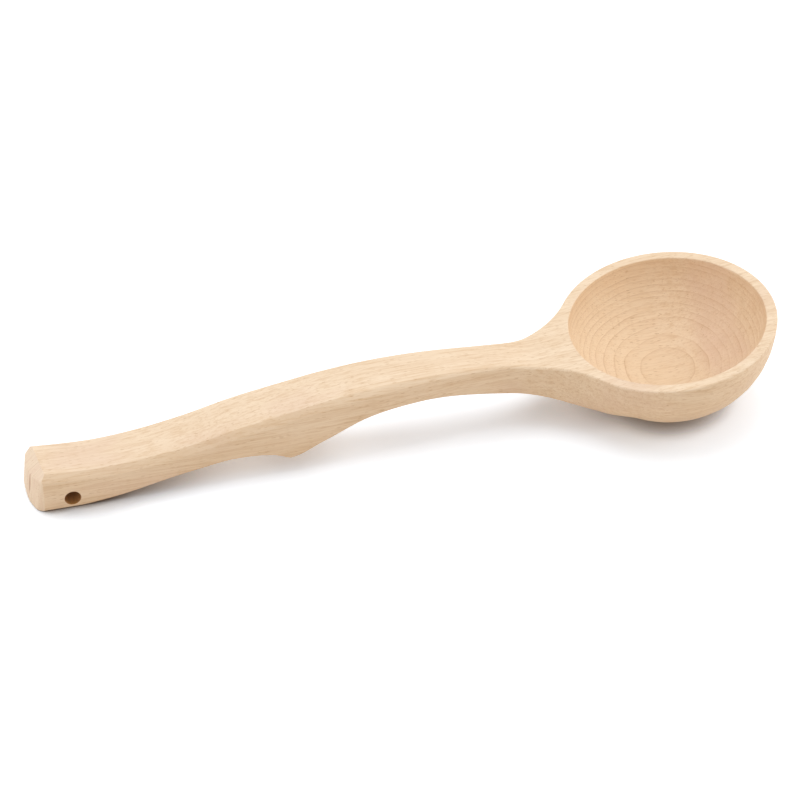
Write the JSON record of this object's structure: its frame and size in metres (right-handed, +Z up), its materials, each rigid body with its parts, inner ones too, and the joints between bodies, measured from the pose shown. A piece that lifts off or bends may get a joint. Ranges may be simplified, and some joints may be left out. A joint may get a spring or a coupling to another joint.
{
  "type": "sauna ladle",
  "caption": "Wooden ladle carved in one piece: round bowl, arched handle with a hooking spur under the grip, and a squared butt drilled for hanging.",
  "frame": {"origin": "on the floor, under the middle of the ladle's bounding box", "axes": "+X from the butt to the bowl's front, +Z up out of the bowl, +Y to the left of someone who looks along +X; the ladle stands on Z = 0 on the flat under its butt and on its bowl"},
  "size_m": [0.3878, 0.1114, 0.0519],
  "materials": {
    "wood": "pale beech, fine-sanded and satin, bare of varnish, with soft growth rings and fine dark flecks along the grain"
  },
  "bodies": {
    "root": {"ladle": "wood"}
  },
  "joints": []
}
